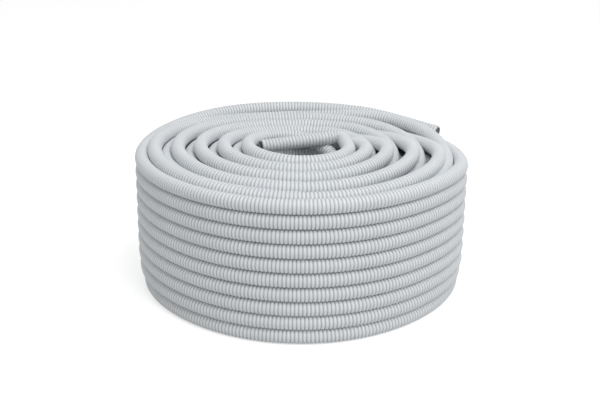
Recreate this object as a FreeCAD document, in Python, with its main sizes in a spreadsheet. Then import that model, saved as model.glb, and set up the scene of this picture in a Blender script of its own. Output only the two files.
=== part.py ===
import FreeCAD, Part
import math
import os
import Sketcher

# A coil of corrugated plastic conduit that lies flat, with its eye upright.
#
# Lengths are in millimetres. The coil's axis is Z, the floor is Z = 0 and the origin is on the floor, in the
# middle of the eye. The turns of one layer lie on each other, and every second layer sits half a turn higher,
# in the grooves of the one before. All turns together are one turned solid whose section has one scallop for
# each turn that shows. The two ends of the conduit leave it as straight hollow stubs.

# Driving sizes: name, value, what it is
SIZES = (
    ("conduit_diameter", 20.0, "outside of the conduit, over its ribs"),
    ("conduit_bore", 14.6, "clear bore inside the ribs"),
    ("turn_nesting", 0.4, "how far the ribs of a turn sink into the turn under it"),
    ("layer_nesting", 0.67, "how far the ribs of a layer sink into the next layer"),
    ("turn_count", 10, "turns on each other in one layer"),
    ("layer_count", 10, "layers from the eye to the outside"),
    ("eye_diameter", 125.0, "clear opening through the middle"),
    ("floor_flat", 0.3, "how far the lowest turns are pressed flat by the floor"),
    ("tail_azimuth", 58.9, "where the outer end starts to leave the coil, in degrees from +X"),
    ("tail_length", 111.8, "outer end, from where it starts to its cut face"),
    ("tail_inset", 5.2, "how far inside the top turn's centre line the outer end starts"),
    ("tail_dip", 2.7, "how far under the top turn's centre line the outer end starts"),
    ("tail_rise", 1.1, "height of the cut face's centre over the top turn's centre line"),
    ("inner_azimuth", 106.0, "where the inner end passes nearest to the axis, in degrees from +X"),
    ("inner_inset", 26.5, "from the eye's wall to the centre line of the inner end, where it is furthest in"),
    ("inner_gap", 8.1, "from the eye's wall to the centre of the inner end's cut face"),
    ("inner_root", 26.7, "how far inside the eye's wall the inner end starts"),
    ("inner_drop", 13.8, "height of the inner end's start under the innermost top turn"),
    ("inner_fall", 3.5, "height of the inner end's cut face under the innermost top turn"),
    ("end_depth", 60.0, "how deep the bore of each end is open"),
    ("cut_overrun", 1.0, "how far the cut of a bore runs past the cut face"),
)

doc = FreeCAD.newDocument("conduit_coil")
sheet = doc.addObject("Spreadsheet::Sheet", "Sizes")
for line, (name, value, meaning) in enumerate(SIZES, start=1):
    sheet.set(f"A{line}", name)
    sheet.set(f"B{line}", str(value))
    sheet.set(f"C{line}", meaning)
    sheet.setAlias(f"B{line}", name)
doc.recompute()

TURNS = int(sheet.turn_count)
LAYERS = int(sheet.layer_count)

# The sketcher's numbers for a line's or an arc's points, for the horizontal axis and for the origin on it
START = 1
END = 2
CENTRE = 3
AXIS = -1
ORIGIN = 1

# Worked out from the sheet, as formulas that the document keeps
TURN_RADIUS = "(Sizes.conduit_diameter / 2)"
TURN_PITCH = "(Sizes.conduit_diameter - Sizes.turn_nesting)"
LAYER_REACH = "(Sizes.conduit_diameter - Sizes.layer_nesting)"
LAYER_STEP = f"sqrt({LAYER_REACH}^2 - ({TURN_PITCH} / 2)^2)"
LOWEST_TURN = f"({TURN_RADIUS} - Sizes.floor_flat)"
INNER_RADIUS = f"(Sizes.eye_diameter / 2 + {TURN_RADIUS})"
OUTER_RADIUS = f"({INNER_RADIUS} + {LAYERS - 1} * {LAYER_STEP})"


def layer_radius(layer):
    """Radius of a layer's centre line: the outermost is layer 0, and each next one is a layer step less."""
    return f"{INNER_RADIUS} + {LAYERS - 1 - layer} * {LAYER_STEP}"


def turn_height(layer, turn):
    """Height of a turn's centre: a pitch for each turn from the floor, and half a pitch in the odd layers."""
    return f"{LOWEST_TURN} + {turn + 0.5 * (layer % 2)} * {TURN_PITCH}"


def number(formula):
    return float(sheet.evalExpression(formula))


def turns_that_show():
    """The (layer, turn) pairs round the section: up the outside, in along the top, down the eye, out below."""
    top = TURNS - 1
    last = LAYERS - 1
    outside = [(0, turn) for turn in range(TURNS)]
    above = [(layer, top) for layer in range(1, last)]
    eye = [(last, turn) for turn in reversed(range(TURNS))]
    below = [(layer, 0) for layer in reversed(range(1, last))]
    return outside + above + eye + below


def groove(centre, following, radius):
    """Where two neighbouring scallops meet: the crossing of their circles on the outer side of the section."""
    step = following - centre
    depth = math.sqrt(radius**2 - (step.Length / 2) ** 2)
    outwards = FreeCAD.Vector(step.y, -step.x, 0) / step.Length
    return centre + step / 2 + outwards * depth


def scallop(centre, radius, start, end):
    """An arc round a turn's centre, anticlockwise from one point to the other."""
    circle = Part.Circle(centre, FreeCAD.Vector(0, 0, 1), radius)
    return Part.ArcOfCircle(circle, circle.parameter(start), circle.parameter(end))


def winding_section(sketch):
    """Draws the closed chain of scallops, with a short flat where a turn stands on the floor."""
    radius = number(TURN_RADIUS)
    turns = turns_that_show()
    centres = [
        FreeCAD.Vector(number(layer_radius(layer)), number(turn_height(layer, turn)), 0)
        for layer, turn in turns
    ]
    count = len(turns)
    grooves = [groove(centres[i], centres[(i + 1) % count], radius) for i in range(count)]
    pieces = []
    flats = []
    scallops = []

    def add_scallop(index, start, end, part):
        layer, turn = turns[index]
        scallops.append((len(pieces), f"layer_{layer}_turn_{turn}_{part}", layer, turn))
        pieces.append(scallop(centres[index], radius, start, end))

    for index, (layer, turn) in enumerate(turns):
        start = grooves[index - 1]
        end = grooves[index]
        if turn == 0 and layer % 2 == 0:
            half = math.sqrt(radius**2 - centres[index].y ** 2)
            left = FreeCAD.Vector(centres[index].x - half, 0, 0)
            right = FreeCAD.Vector(centres[index].x + half, 0, 0)
            add_scallop(index, start, left, "inward")
            flats.append(len(pieces))
            pieces.append(Part.LineSegment(left, right))
            add_scallop(index, right, end, "outward")
        else:
            add_scallop(index, start, end, "whole")

    constraints = []
    bound = []
    for place in flats:
        constraints.append(Sketcher.Constraint("PointOnObject", place, START, AXIS))
        constraints.append(Sketcher.Constraint("PointOnObject", place, END, AXIS))
    for place, label, layer, turn in scallops:
        centre = pieces[place].Center
        bound.append((len(constraints), f"{label}_radius", TURN_RADIUS))
        constraints.append(Sketcher.Constraint("Radius", place, radius))
        bound.append((len(constraints), f"{label}_reach", layer_radius(layer)))
        constraints.append(Sketcher.Constraint("DistanceX", AXIS, ORIGIN, place, CENTRE, centre.x))
        bound.append((len(constraints), f"{label}_level", turn_height(layer, turn)))
        constraints.append(Sketcher.Constraint("DistanceY", AXIS, ORIGIN, place, CENTRE, centre.y))
    for place in range(len(pieces)):
        following = (place + 1) % len(pieces)
        constraints.append(Sketcher.Constraint("Coincident", place, END, following, START))
    sketch.addGeometry(pieces, False)
    sketch.addConstraint(constraints)
    for row, label, formula in bound:
        sketch.renameConstraint(row, label)
        sketch.setExpression(f"Constraints.{label}", formula)


def make_winding():
    """All turns as one solid: the scalloped section turned about Z."""
    body = doc.addObject("PartDesign::Body", "winding")
    plane = next(item for item in body.Origin.OriginFeatures if item.Role == "XZ_Plane")
    sketch = body.newObject("Sketcher::SketchObject", "winding_section")
    sketch.AttachmentSupport = (plane, [""])
    sketch.MapMode = "FlatFace"
    doc.recompute()
    winding_section(sketch)
    doc.recompute()
    turned = body.newObject("PartDesign::Revolution", "winding_turned")
    turned.Profile = (sketch, [""])
    turned.ReferenceAxis = (sketch, ["V_Axis"])
    turned.Angle = 360.0
    body.Tip = turned
    return body


def straight_run(name, radius, length, start, heading, slope):
    """A round bar from a point, along a heading in degrees from +X, that climbs at a slope in degrees."""
    run = doc.addObject("Part::Cylinder", name)
    run.setExpression("Radius", radius)
    run.setExpression("Height", length)
    x, y, z = start
    run.setExpression(
        "Placement",
        f"placement(vector({x}; {y}; {z}); rotation({heading}; 90deg - ({slope}); 0deg))",
    )
    return run


def end_stub(name, start, heading, slope, length):
    """One end of the conduit: its outside, and the bore that is open from its cut face."""
    outside = straight_run(f"{name}_outside", TURN_RADIUS, length, start, heading, slope)
    depth = f"(({length}) - Sizes.end_depth)"
    along = (
        f"cos({heading}) * cos({slope})",
        f"sin({heading}) * cos({slope})",
        f"sin({slope})",
    )
    floor_of_bore = tuple(f"({at}) + {depth} * {part}" for at, part in zip(start, along))
    past_the_face = "Sizes.end_depth + Sizes.cut_overrun"
    bore = straight_run(f"{name}_bore", "Sizes.conduit_bore / 2", past_the_face, floor_of_bore, heading, slope)
    return outside, bore


def outer_end():
    """The outer end goes straight on where the top turn bends away, a little up and out of the coil."""
    foot = f"({OUTER_RADIUS} - Sizes.tail_inset)"
    level = f"({turn_height(0, TURNS - 1)})"
    start = (
        f"{foot} * cos(Sizes.tail_azimuth * 1deg)",
        f"{foot} * sin(Sizes.tail_azimuth * 1deg)",
        f"{level} - Sizes.tail_dip",
    )
    heading = "(Sizes.tail_azimuth * 1deg - 90deg)"
    slope = "(asin((Sizes.tail_rise + Sizes.tail_dip) / Sizes.tail_length))"
    return end_stub("outer_end", start, heading, slope, "Sizes.tail_length")


def inner_end():
    """The inner end is a chord of the eye: it leaves the innermost top turn and stops short of the far wall."""
    eye = "(Sizes.eye_diameter / 2)"
    nearest = f"({eye} - Sizes.inner_inset)"
    before = f"sqrt(({eye} + Sizes.inner_root)^2 - {nearest}^2)"
    after = f"sqrt(({eye} - Sizes.inner_gap)^2 - {nearest}^2)"
    length = f"({before} + {after})"
    level = f"({turn_height(LAYERS - 1, TURNS - 1)})"
    azimuth = "(Sizes.inner_azimuth * 1deg)"
    start = (
        f"{nearest} * cos({azimuth}) + {before} * sin({azimuth})",
        f"{nearest} * sin({azimuth}) - {before} * cos({azimuth})",
        f"{level} - Sizes.inner_drop",
    )
    heading = f"({azimuth} + 90deg)"
    slope = f"(asin((Sizes.inner_drop - Sizes.inner_fall) / {length}))"
    return end_stub("inner_end", start, heading, slope, length)


def joined(kind, name, shapes):
    """Fuses shapes into one."""
    whole = doc.addObject(kind, name)
    whole.Shapes = shapes
    whole.Refine = False
    return whole


winding = make_winding()
outer_tube, outer_bore = outer_end()
inner_tube, inner_bore = inner_end()
solid_conduit = joined("Part::MultiFuse", "solid_conduit", [winding, outer_tube, inner_tube])
bores = joined("Part::MultiFuse", "bores", [outer_bore, inner_bore])
conduit = doc.addObject("Part::Cut", "conduit")
conduit.Label = "conduit"
conduit.Base = solid_conduit
conduit.Tool = bores
conduit.Refine = False
doc.recompute()

for item in doc.Objects:
    if "Invalid" in item.State or "Error" in item.State:
        raise RuntimeError(f"{item.Label} did not build: {item.State}")

os.makedirs("parts", exist_ok=True)
for node in (conduit,):
    shape = node.Shape
    if shape.isNull() or not shape.isValid() or len(shape.Solids) != 1:
        raise RuntimeError(f"{node.Label} is not one sound solid")
    shape.exportStep(f"parts/{node.Label}.step")
    box = shape.BoundBox
    print(node.Label, "volume", round(shape.Volume), "faces", len(shape.Faces))
    print("box", [round(side, 2) for side in (box.XMin, box.YMin, box.ZMin, box.XMax, box.YMax, box.ZMax)])
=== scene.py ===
import math

import bpy
import numpy as np
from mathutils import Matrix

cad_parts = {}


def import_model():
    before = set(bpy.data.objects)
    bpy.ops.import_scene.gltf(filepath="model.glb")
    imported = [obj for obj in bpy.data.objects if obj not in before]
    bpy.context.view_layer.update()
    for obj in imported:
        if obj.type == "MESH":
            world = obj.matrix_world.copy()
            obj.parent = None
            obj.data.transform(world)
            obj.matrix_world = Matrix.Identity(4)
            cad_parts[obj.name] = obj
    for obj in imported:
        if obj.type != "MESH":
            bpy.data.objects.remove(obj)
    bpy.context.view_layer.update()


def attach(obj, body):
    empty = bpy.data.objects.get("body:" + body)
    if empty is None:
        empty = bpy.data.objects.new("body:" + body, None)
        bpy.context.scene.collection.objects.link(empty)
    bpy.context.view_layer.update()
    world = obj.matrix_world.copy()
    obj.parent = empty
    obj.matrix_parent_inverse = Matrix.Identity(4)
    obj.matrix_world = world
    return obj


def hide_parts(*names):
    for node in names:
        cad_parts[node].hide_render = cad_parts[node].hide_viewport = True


# A coil of corrugated plastic conduit lying flat. Ten layers of turns are wound one outside the other, and
# the conduit goes down one layer and up the next, always the same way round. What can be seen is built turn
# by turn: the outer layer, the turns that cross over from layer to layer on the top, the ones under them,
# the underside, the wall of the eye, and both cut ends.
#
# The turns are placed in pitches (one pitch is the step from a turn to the one above it) and in quarter
# turns: 0 is at the right (+X), 1 at the back (+Y), 2 at the left and 3 at the front, and 4 is at the right
# again.

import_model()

# The conduit, in metres. A closed end is capped a hair past its last groove. An open one has a lip there,
# and shows its inside for a depth.
PITCH = 0.0196
TUBE_RADIUS = 0.0100
GROOVE_RADIUS = 0.0086
RIB_STEP = 0.00503
WALL = 0.0012
END_CAP = 0.0001
END_LIP = 0.0004
END_DEPTH = 0.06

# Where the points of a ring stand round the tube, from its outward side over its top, in degrees.
SIDES_OUTER = (0, 22, 44, 66, 90, 118, 150, 180, 210, 242, 270, 294, 316, 338)
SIDES_TOP = tuple(np.arange(14) * 360 / 14)
SIDES_EYE = tuple(np.arange(12) * 30)
SIDES_HIDDEN = tuple(np.arange(8) * 45)

# One rib, as shares of the rib step and of the rib's height over the groove.
RIB_FINE = ((0.0, 0.0), (0.17, 0.66), (0.36, 1.0), (0.64, 1.0), (0.83, 0.66))
RIB_COARSE = ((0.0, 0.0), (0.25, 0.85), (0.5, 1.0), (0.75, 0.85))


def eased(u):
    """0 up to 0 and 1 from 1 on, along 3 u squared minus 2 u cubed between them."""
    u = np.clip(u, 0, 1)
    return u * u * (3 - 2 * u)


def along_quarters(knots, at):
    """A cubic through the values given at quarter turns. At each knot its slope is the mean of the slopes to
    the two neighbours, where the nearer one weighs more."""
    quarters, values = np.array(knots, float).T
    slopes = np.gradient(values, quarters)
    place = np.clip(np.searchsorted(quarters, at, side="right") - 1, 0, len(quarters) - 2)
    width = quarters[place + 1] - quarters[place]
    u = (at - quarters[place]) / width
    start = (1 + 2 * u) * (1 - u) ** 2 * values[place] + u * (1 - u) ** 2 * width * slopes[place]
    stop = u * u * (3 - 2 * u) * values[place + 1] + u * u * (u - 1) * width * slopes[place + 1]
    return start + stop


def sampled(start, stop):
    """Quarter-turn values from start to stop, ninety to a quarter."""
    return np.linspace(start, stop, int((stop - start) * 90) + 2)


def turn_points(quarters, radius, height):
    """Points of a winding: at each quarter-turn value, radius times (cosine, sine), and the height."""
    angle = quarters * math.pi / 2
    return PITCH * np.column_stack((radius * np.cos(angle), radius * np.sin(angle), height))


def bend(start, leaving, end, arriving, reach, count=24):
    """A cubic from start to end. It leaves and arrives along the given directions, reach pitches strong."""
    u = np.linspace(0, 1, count)[:, None]
    first = start + PITCH * reach * leaving
    last = end - PITCH * reach * arriving
    return (1 - u) ** 3 * start + 3 * u * (1 - u) ** 2 * first + 3 * u * u * (1 - u) * last + u ** 3 * end


def measured(points):
    """The length along a path up to each of its points."""
    return np.concatenate(([0.0], np.cumsum(np.linalg.norm(np.diff(points, axis=0), axis=1))))


def unit(vectors):
    """The same directions, each one long."""
    return vectors / np.linalg.norm(vectors, axis=-1, keepdims=True)


def front_grooves(points, length, shifts):
    """How far along a path its grooves stand at the middle of the front. A path passes there where x goes
    through 0 while y is below 0, and the groove is shifted to the right, by a share of the rib step for each
    pass."""
    x, y = points[:, 0], points[:, 1]
    before = np.flatnonzero((x[:-1] * x[1:] < 0) & (y[1:] < 0))
    share = x[before] / (x[before] - x[before + 1])
    passed = length[before] + share * (length[before + 1] - length[before])
    inside = (passed > RIB_STEP) & (passed < length[-1] - RIB_STEP)
    way = np.sign(x[before + 1] - x[before])[inside]
    count = min(len(shifts), len(way))
    return passed[inside][:count] + way[:count] * np.array(shifts[:count]) * RIB_STEP


def rib_stations(length, rib, grooves):
    """Where the rings of points stand along a tube, and the radius of each: one rib after another, with a
    groove at both ends and at each of the given places. The ribs between two of them are equally wide."""
    shares, heights = np.array(rib).T
    stops = np.concatenate(((0.0,), grooves, (length,)))
    ribs = np.maximum(1, np.round(np.diff(stops) / RIB_STEP)).astype(int)
    edges = np.interp(np.arange(ribs.sum() + 1), np.concatenate(((0,), np.cumsum(ribs))), stops)
    stations = (edges[:-1, None] + shares * np.diff(edges)[:, None]).ravel()
    radii = np.tile(GROOVE_RADIUS + heights * (TUBE_RADIUS - GROOVE_RADIUS), ribs.sum())
    return np.append(stations, length), np.append(radii, GROOVE_RADIUS)


def closed_ends(stations, radii):
    """The first and last groove once more, a hair further out, where the tube is capped."""
    stations = np.concatenate((stations[:1] - END_CAP, stations, stations[-1:] + END_CAP))
    return stations, np.concatenate((radii[:1], radii, radii[-1:]))


def open_end(stations, radii, depth):
    """The last end turned in: a lip past the last groove, then the ribs again, backwards for the depth and a
    wall's thickness further in."""
    inside = stations > stations[-1] - depth
    lip = stations[-1] + END_LIP
    rim = GROOVE_RADIUS + END_LIP
    radii = np.concatenate((radii, (rim, rim - WALL), radii[inside][::-1] - WALL))
    return np.concatenate((stations, (lip, lip), stations[inside][::-1])), radii


def rings_along(points, length, stations, radii, sides):
    """Rings of points round a path, and their centres. A point is the centre, plus the radius times the
    cosine of its side along the horizontal outward direction, plus the radius times the sine along the
    direction across it. A station past either end of the path lies straight on."""
    centres = np.column_stack([np.interp(stations, length, points[:, k]) for k in range(3)])
    heading = unit(np.gradient(points, length, axis=0))
    ahead = unit(np.column_stack([np.interp(stations, length, heading[:, k]) for k in range(3)]))
    beyond = np.maximum(stations - length[-1], 0) + np.minimum(stations, 0)
    centres += beyond[:, None] * ahead
    outward = unit(np.cross(ahead, (0, 0, 1)))
    across = np.cross(outward, ahead)
    angle = np.radians(sides)[None, :, None]
    spokes = np.cos(angle) * outward[:, None] + np.sin(angle) * across[:, None]
    return centres[:, None] + radii[:, None, None] * spokes, centres


def tube_faces(count, around):
    """The faces of a tube: four-sided ones that join each ring of points to the next, and at either end a
    fan of triangles from a pole to the ring. The two poles are numbered after the points of the rings."""
    ring, side = np.meshgrid(np.arange(count - 1), np.arange(around), indexing="ij")
    following = (side + 1) % around
    quads = np.stack((ring * around + side, (ring + 1) * around + side,
                      (ring + 1) * around + following, ring * around + following), -1).reshape(-1, 4)
    side = np.arange(around)
    following = (side + 1) % around
    start_pole = np.full(around, count * around)
    last_ring = (count - 1) * around
    fans = np.concatenate((
        np.stack((start_pole, side, following), -1),
        np.stack((start_pole + 1, last_ring + following, last_ring + side), -1),
    ))
    return quads, fans


def tube(points, rib, sides, depth=0.0, shifts=()):
    """A ribbed tube along a path: a ring of points at each station of its ribs, joined in order, and a pole
    at each end. It is closed, or with a depth it is open at its last end. Shifts say where its grooves stand
    at the front. With its points and faces it gives how deep in a groove each point is: 0 on top of a rib
    and past the last groove, and 1 at the bottom of a groove."""
    length = measured(points)
    stations, radii = rib_stations(length[-1], rib, front_grooves(points, length, shifts))
    stations, radii = open_end(stations, radii, depth) if depth else closed_ends(stations, radii)
    rings, centres = rings_along(points, length, stations, radii, sides)
    quads, fans = tube_faces(len(stations), len(sides))
    vertices = np.concatenate((rings.reshape(-1, 3), centres[:1], centres[-1:]))
    deep = (TUBE_RADIUS - radii) / (TUBE_RADIUS - GROOVE_RADIUS)
    groove = np.where(stations > length[-1], 0, deep)
    grooves = np.concatenate((np.repeat(groove, len(sides)), groove[:1], groove[-1:]))
    return vertices, quads, fans, grooves


def piece(name, tubes, material):
    """One mesh of several tubes, with how deep in a groove each point is kept as an attribute."""
    sizes = np.cumsum([0] + [len(t[0]) for t in tubes])[:-1]
    vertices = np.concatenate([t[0] for t in tubes])
    quads = np.concatenate([t[1] + size for t, size in zip(tubes, sizes)])
    fans = np.concatenate([t[2] + size for t, size in zip(tubes, sizes)])
    grooves = np.concatenate([t[3] for t in tubes])
    mesh = bpy.data.meshes.new(name)
    mesh.vertices.add(len(vertices))
    mesh.vertices.foreach_set("co", vertices.astype(np.float32).ravel())
    mesh.loops.add(quads.size + fans.size)
    mesh.loops.foreach_set("vertex_index", np.concatenate((quads.ravel(), fans.ravel())).astype(np.int32))
    mesh.polygons.add(len(quads) + len(fans))
    starts = np.concatenate((np.arange(len(quads)) * 4, quads.size + np.arange(len(fans)) * 3))
    mesh.polygons.foreach_set("loop_start", starts.astype(np.int32))
    mesh.update(calc_edges=True)
    mesh.attributes.new("groove", "FLOAT", "POINT").data.foreach_set("value", grooves.astype(np.float32))
    mesh.shade_smooth()
    mesh.materials.append(material)
    made = bpy.data.objects.new(name, mesh)
    bpy.context.scene.collection.objects.link(made)
    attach(made, "root")
    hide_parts("conduit")
    print(name, 2 * len(quads) + len(fans), "triangles")


# Every second layer lies on the floor and the others nest half a pitch higher. On its last turn there, a
# layer starts to move in to the next one so many quarters round, and takes so many to do it.
LAYERS = 10
LAYER_STEP = 0.85
FLOOR_ROW = TUBE_RADIUS / PITCH
NESTED_ROW = 1.0
LAYER_CHANGE_START = 3.3
LAYER_CHANGE_LENGTH = 1.2

# The outer layer, of ten rows. A row starts at the back, the first one at quarter 1, and the last one moves
# in to the next layer. The layer is parted into pieces at some quarters.
ROWS = 10
TOP_ROW = 9.5
OUTER_RADIUS = 11.365
SQUARENESS = 0.0095
PARTINGS = (5, 17, 29, 45)
LAYER_CHANGE = 4 * ROWS - 3 + LAYER_CHANGE_START

# How far its right and left sides lean in: on all rows, then what grows evenly down to the floor, and then
# what the lowest rows add.
LEAN_RIGHT = (-0.07, 0.13, 0.29)
LEAN_LEFT = (0.0, -0.06, 0.36)

# How much higher than its own level a row runs at each quarter. Further down, the rows become level: at the
# back over the lowest eight rows, and from the left on over the lowest two.
ROW_SLOPE = {
    1: 0.53, 1.4: 0.64, 2: 0.22, 2.35: 0.06, 2.6: 0.0, 3: -0.04,
    3.35: -0.04, 3.6: -0.06, 3.78: -0.16, 3.9: -0.38, 4: -0.45,
}
LEVELLING_BACK = 8
LEVELLING_FRONT = 2

# The outer end runs straight from its cut face and joins the first turn.
TAIL_QUARTER = 0.655
TAIL_START_HEIGHT = 9.93
TAIL_JOIN = TAIL_QUARTER + 0.05
TAIL_REACH = 1.9
TAIL_END = np.array((10.66, 6.50, 9.34)) * PITCH


def outer_radius(quarters, row):
    """The outer layer is a little square. Each side leans in by the square of the cosine, times how far it
    leans at that row: the first value of its lean, plus the second times how low the row is, plus the third
    times the twelfth power of that. The last turn moves in by a layer."""
    angle = quarters * math.pi / 2
    side = np.cos(angle)
    low = np.clip(row / (ROWS - 1), 0, 1)
    right, left = (everywhere + growing * low + lowest * low ** 12
                   for everywhere, growing, lowest in (LEAN_RIGHT, LEAN_LEFT))
    lean = np.where(side > 0, right, left) * side ** 2
    moved = LAYER_STEP * eased((quarters - LAYER_CHANGE) / LAYER_CHANGE_LENGTH)
    return OUTER_RADIUS * (1 + SQUARENESS * np.cos(4 * angle)) - lean - moved


def outer_knots():
    """Heights of the outer layer at each quarter: one row down with each turn, and then along the floor."""
    knots = [(TAIL_QUARTER, TAIL_START_HEIGHT)]
    for row in range(ROWS):
        above = ROWS - 1 - row
        for quarter, offset in ROW_SLOPE.items():
            slope = min(1.0, above / (LEVELLING_BACK if quarter < 2 else LEVELLING_FRONT))
            height = TOP_ROW - row + slope * offset
            knots.append((4 * row + quarter, max(height, FLOOR_ROW)))
    return knots + [(LAYER_CHANGE + LAYER_CHANGE_LENGTH, NESTED_ROW), (PARTINGS[-1] + 1, NESTED_ROW)]


def outer_points(start, stop):
    """The outer layer from one quarter to another. It stays on the floor or above it."""
    quarters = sampled(start, stop)
    height = np.maximum(along_quarters(outer_knots(), quarters), FLOOR_ROW)
    return turn_points(quarters, outer_radius(quarters, quarters / 4 - 0.5), height)


def tail_points(stop):
    """The outer end, straight from its cut face to the first turn, which it meets along the turn's own
    direction."""
    ring = outer_points(TAIL_JOIN, stop)
    joining = unit(ring[1] - ring[0])
    run = unit(ring[0] - TAIL_END)
    lead = bend(TAIL_END, run, ring[0], joining, TAIL_REACH)
    return np.concatenate((lead[:-1], ring))


# The turns that cross over on the top, from the outermost, with their radii and heights at these quarters.
# Each goes round the top about twice. It makes a first pass at the right and the back (0 to 1) and its high
# turn at the left, the front and the right (2, 3 and 4). It sinks in towards the back (4.3 to 5), and makes
# a second pass at the left and the front (6 and 7), lower down and on the next layer in. The innermost one
# ends after its high turn.
TOP_QUARTERS = (0, 0.25, 0.5, 1, 2, 3, 4, 4.3, 4.6, 5, 6, 7, 8)
TOP_TURNS = (
    (10.50, 10.66, 10.78, 10.62, 10.55, 10.22, 9.90, 9.80, 9.72, 9.65, 9.72, 9.35, 9.60),
    (8.56, 8.82, 8.97, 8.92, 8.90, 8.48, 8.05, 8.00, 8.00, 8.05, 8.08, 7.60, 7.70),
    (6.66, 6.98, 7.15, 7.17, 7.27, 6.73, 6.19, 6.20, 6.25, 6.33, 6.43, 5.93, 5.90),
    (5.03, 5.25, 5.45, 5.50, 5.59, 5.14, 4.69, 4.65, 4.65, 4.68, 4.72, 4.39, 4.40),
    (3.55, 3.10, 3.20, 3.75, 3.85, 3.64, 3.43, 3.43, 3.43),
)
TOP_HEIGHTS = (
    (9.30, 9.70, 9.86, 9.48, 10.15, 9.52, 9.65, 9.18, 8.92, 9.05, 9.50, 9.27, 8.35),
    (9.05, 9.42, 9.66, 9.72, 10.15, 9.64, 9.83, 9.50, 9.15, 9.28, 9.38, 9.38, 8.35),
    (9.00, 9.40, 9.64, 9.66, 10.15, 9.76, 9.85, 9.50, 9.15, 9.28, 9.38, 9.50, 8.35),
    (8.85, 9.28, 9.56, 9.62, 10.15, 9.86, 9.90, 9.60, 9.25, 9.30, 9.46, 9.60, 8.35),
    (8.10, 8.35, 8.80, 9.60, 10.15, 9.98, 9.90, 9.90, 9.90),
)
INNERMOST = len(TOP_TURNS) - 1

# The quarters between which a crossing turn can be seen. For a turn before and a turn after, it lies under
# the others, so much lower at each quarter.
SEEN = (-1, 7)
UNDER_BEFORE = (-5, -1)
UNDER_AFTER = (7, 11)
RISING = {-5: -1.12, -4: -1.02, -3: -0.76, -2: -0.52, -1: -0.48}
FALLING = {9: -0.10, 10: -0.30, 11: -0.60, 12: -1.02}


def crossing_knots(number):
    """Radius and height of one crossing turn at each quarter, with a turn below it at either end. The
    innermost one has none after it."""
    radii, heights = TOP_TURNS[number], TOP_HEIGHTS[number]
    falling = FALLING if number < INNERMOST else {}
    radius = [(quarter, radii[0]) for quarter in RISING]
    radius += zip(TOP_QUARTERS, radii)
    radius += [(quarter, radii[-1]) for quarter in falling]
    height = [(quarter, heights[0] + drop) for quarter, drop in RISING.items()]
    height += zip(TOP_QUARTERS, heights)
    height += [(quarter, heights[-1] + drop) for quarter, drop in falling.items()]
    return radius, height


def crossing_points(number, start, stop):
    """One crossing turn from one quarter to another."""
    quarters = sampled(start, stop)
    radius, height = crossing_knots(number)
    return turn_points(quarters, along_quarters(radius, quarters), along_quarters(height, quarters))


# The inner end leaves the innermost turn at a quarter, bends, and lies straight across the eye.
INNER_LEAVES = 4.12
INNER_REACH = 1.3
INNER_BEND = np.array((2.25, 2.86, 9.90)) * PITCH
INNER_END = np.array((-2.90, 1.25, 9.70)) * PITCH


def inner_points():
    """The innermost crossing turn, its bend and the straight run to its cut face."""
    ring = crossing_points(INNERMOST, SEEN[0], INNER_LEAVES)
    joining = unit(ring[-1] - ring[-2])
    chord = unit(INNER_END - INNER_BEND)
    corner = bend(ring[-1], joining, INNER_BEND, chord, INNER_REACH)
    straight = INNER_BEND + np.linspace(0, 1, 12)[1:, None] * (INNER_END - INNER_BEND)
    return np.concatenate((ring, corner[1:], straight))


# The underside: each path is two turns and a little more, and lies a little further in than the outer layer.
UNDERSIDE_QUARTERS = 8.4
UNDERSIDE_INSET = 0.02

# The innermost layer. Its first turn lies level, and then it climbs to the innermost crossing turn.
EYE_KNOTS = ((-36.4, NESTED_ROW), (-32.4, NESTED_ROW), (-30, 1.45))


def underside_points(layer):
    """One turn of a layer on the floor, and one of the next layer in, half a pitch higher."""
    quarters = sampled(0, UNDERSIDE_QUARTERS)
    inward = eased((quarters - LAYER_CHANGE_START) / LAYER_CHANGE_LENGTH)
    radius = OUTER_RADIUS - UNDERSIDE_INSET - layer * LAYER_STEP - inward * LAYER_STEP
    return turn_points(quarters, radius, FLOOR_ROW + inward * (NESTED_ROW - FLOOR_ROW))


def eye_points():
    """The innermost layer, from the floor up to where the innermost crossing turn starts."""
    radius, height = crossing_knots(INNERMOST)
    quarters = sampled(EYE_KNOTS[0][0], UNDER_BEFORE[0])
    climb = along_quarters((*EYE_KNOTS, height[0]), quarters)
    return turn_points(quarters, np.full(len(quarters), radius[0][1]), climb)


# The plastic, in darker and lighter patches that vary at random, and darker down in its grooves, which is
# painted shade. The floor and the studio look white to the camera, and give the coil less light than that.
PLASTIC_SHADES = ((0.79, 0.82, 0.845, 1), (0.83, 0.855, 0.875, 1))
# Painted shade: the darker grey that the grooves are painted with.
GROOVE_PAINTED_SHADE = (0.46, 0.475, 0.48, 1)
FLOOR_HALF_SIDE = 30.0
FLOOR_SHADE = (0.75, 0.75, 0.75, 1)
FLOOR_GLOW = 0.54
STUDIO_LIGHT = 0.53
COIL_MIDDLE = np.array((0, 0, 0.1))


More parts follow.
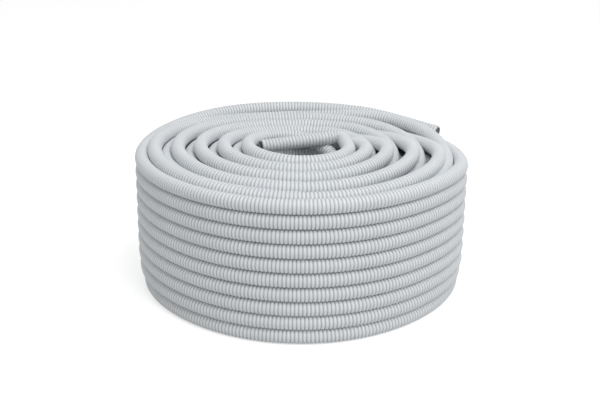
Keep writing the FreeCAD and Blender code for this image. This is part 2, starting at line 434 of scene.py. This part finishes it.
def conduit_material():
    """Light grey plastic with a soft gloss, rougher down in its grooves and painted darker there as painted
    shade.
    """
    material = bpy.data.materials.new("conduit_plastic")
    material.use_nodes = True
    nodes, links = material.node_tree.nodes, material.node_tree.links
    shader = nodes["Principled BSDF"]
    shader.inputs["Specular IOR Level"].default_value = 0.45
    place = nodes.new("ShaderNodeTexCoord")
    cloud = nodes.new("ShaderNodeTexNoise")
    cloud.inputs["Scale"].default_value = 14.0
    cloud.inputs["Detail"].default_value = 4.0
    links.new(place.outputs["Object"], cloud.inputs["Vector"])
    tint = nodes.new("ShaderNodeValToRGB")
    for element, position, shade in zip(tint.color_ramp.elements, (0.3, 0.7), PLASTIC_SHADES):
        element.position = position
        element.color = shade
    links.new(cloud.outputs["Fac"], tint.inputs["Fac"])
    groove = nodes.new("ShaderNodeAttribute")
    groove.attribute_name = "groove"
    # Painted shade: the base colour is mixed towards a darker grey down in the grooves, standing in for the
    # shade that falls there.
    groove_painted_shade = nodes.new("ShaderNodeMix")
    groove_painted_shade.data_type = "RGBA"
    groove_painted_shade.inputs["B"].default_value = GROOVE_PAINTED_SHADE
    links.new(groove.outputs["Fac"], groove_painted_shade.inputs["Factor"])
    links.new(tint.outputs["Color"], groove_painted_shade.inputs["A"])
    links.new(groove_painted_shade.outputs["Result"], shader.inputs["Base Color"])
    rough = nodes.new("ShaderNodeMapRange")
    rough.inputs["To Min"].default_value = 0.40
    rough.inputs["To Max"].default_value = 0.55
    links.new(groove.outputs["Fac"], rough.inputs["Value"])
    links.new(rough.outputs["Result"], shader.inputs["Roughness"])
    return material


def floor_material():
    """White floor. For the camera it also glows a little, so that it reads white and keeps the shadow."""
    material = bpy.data.materials.new("floor")
    material.use_nodes = True
    nodes, links = material.node_tree.nodes, material.node_tree.links
    nodes.remove(nodes["Principled BSDF"])
    diffuse = nodes.new("ShaderNodeBsdfDiffuse")
    diffuse.inputs["Color"].default_value = FLOOR_SHADE
    glow = nodes.new("ShaderNodeEmission")
    path = nodes.new("ShaderNodeLightPath")
    strength = nodes.new("ShaderNodeMath")
    strength.operation = "MULTIPLY"
    strength.inputs[1].default_value = FLOOR_GLOW
    links.new(path.outputs["Is Camera Ray"], strength.inputs[0])
    links.new(strength.outputs[0], glow.inputs["Strength"])
    both = nodes.new("ShaderNodeAddShader")
    links.new(diffuse.outputs[0], both.inputs[0])
    links.new(glow.outputs[0], both.inputs[1])
    links.new(both.outputs[0], nodes["Material Output"].inputs["Surface"])
    return material


def floor():
    """A square floor round the coil."""
    side = FLOOR_HALF_SIDE
    mesh = bpy.data.meshes.new("floor")
    corners = [(-side, -side, 0), (side, -side, 0), (side, side, 0), (-side, side, 0)]
    mesh.from_pydata(corners, [], [(0, 1, 2, 3)])
    mesh.materials.append(floor_material())
    made = bpy.data.objects.new("floor", mesh)
    bpy.context.scene.collection.objects.link(made)


def world():
    """White for the camera, and an even soft light for everything else."""
    sky = bpy.data.worlds.new("studio")
    sky.use_nodes = True
    nodes, links = sky.node_tree.nodes, sky.node_tree.links
    background = nodes["Background"]
    background.inputs["Color"].default_value = (1, 1, 1, 1)
    path = nodes.new("ShaderNodeLightPath")
    mix = nodes.new("ShaderNodeMix")
    mix.inputs["A"].default_value = STUDIO_LIGHT
    mix.inputs["B"].default_value = 1.0
    links.new(path.outputs["Is Camera Ray"], mix.inputs["Factor"])
    links.new(mix.outputs["Result"], background.inputs["Strength"])
    bpy.context.scene.world = sky


def lamp(name, place, size, power):
    """A square soft lamp that faces the middle of the coil."""
    light = bpy.data.lights.new(name, "AREA")
    light.size = size
    light.energy = power
    made = bpy.data.objects.new(name, light)
    made.location = place
    toward = COIL_MIDDLE - np.array(place)
    made.rotation_euler = (math.atan2(math.hypot(toward[0], toward[1]), -toward[2]), 0,
                           math.atan2(toward[1], toward[0]) - math.pi / 2)
    bpy.context.scene.collection.objects.link(made)


def camera(place, tilt, length):
    """The camera at a place, tilted down so many degrees, with a lens of so many millimetres."""
    lens = bpy.data.cameras.new("camera")
    lens.lens = length
    lens.sensor_width = 36.0
    made = bpy.data.objects.new("camera", lens)
    made.location = place
    made.rotation_euler = (math.radians(90 - tilt), 0, 0)
    bpy.context.scene.collection.objects.link(made)
    bpy.context.scene.camera = made


# Where the grooves stand at the front, to the right of the middle, in rib steps. One row's ribs sit in the
# grooves of the next, half a step further along. The turns on the top have theirs nearly in line.
ROW_SHIFTS = (-0.2, 0.3)
TOP_SHIFTS = (0.05, 0.25, 0.25, 0.3, 0.3)


def outer_rows(start, stop):
    """The rows of the outer layer from one quarter to another, as one tube."""
    shifts = [ROW_SHIFTS[row % 2] for row in range((start - 1) // 4, (stop - 1) // 4)]
    return tube(outer_points(start, stop), RIB_FINE, SIDES_OUTER, shifts=shifts)


def crossing_turn(number):
    """The part of one crossing turn that can be seen, as one tube."""
    return tube(crossing_points(number, *SEEN), RIB_FINE, SIDES_TOP, shifts=TOP_SHIFTS[number:number + 1])


def turns_under_the_top():
    """A turn before and one after each crossing turn, as plainer tubes."""
    return [
        tube(crossing_points(number, *span), RIB_COARSE, SIDES_HIDDEN)
        for number in range(INNERMOST) for span in (UNDER_BEFORE, UNDER_AFTER)
    ] + [tube(crossing_points(INNERMOST, *UNDER_BEFORE), RIB_COARSE, SIDES_EYE)]


def underside_turns():
    """The lowest turns of all the layers but the two outermost, which end the outer rows. Two to a tube."""
    return [tube(underside_points(layer), RIB_COARSE, SIDES_HIDDEN) for layer in range(2, LAYERS, 2)]


pieces = {
    "outer_end": [tube(tail_points(PARTINGS[0])[::-1], RIB_FINE, SIDES_TOP, END_DEPTH, ROW_SHIFTS[:1])],
    "upper_turns": [outer_rows(PARTINGS[0], PARTINGS[1])],
    "middle_turns": [outer_rows(PARTINGS[1], PARTINGS[2])],
    "lower_turns": [outer_rows(PARTINGS[2], PARTINGS[3])],
    "top_turns_outer": [crossing_turn(0), crossing_turn(1)],
    "top_turns_inner": [crossing_turn(2), crossing_turn(3)],
    "inner_end": [tube(inner_points(), RIB_FINE, SIDES_TOP, END_DEPTH, TOP_SHIFTS[INNERMOST:])],
    "turns_under_the_top": turns_under_the_top(),
    "underside_turns": underside_turns(),
    "eye_turns": [tube(eye_points(), RIB_COARSE, SIDES_EYE)],
}
plastic = conduit_material()
for name, tubes in pieces.items():
    piece(name, tubes, plastic)
floor()
world()
lamp("key_light", place=(1.2, -1.6, 1.9), size=1.6, power=9.5)
lamp("top_light", place=(0.5, -0.8, 2.4), size=1.8, power=23.0)
camera(place=(-0.0018, -1.50158, 0.63775), tilt=19.136, length=65.984)
bpy.context.scene.view_settings.view_transform = "Standard"
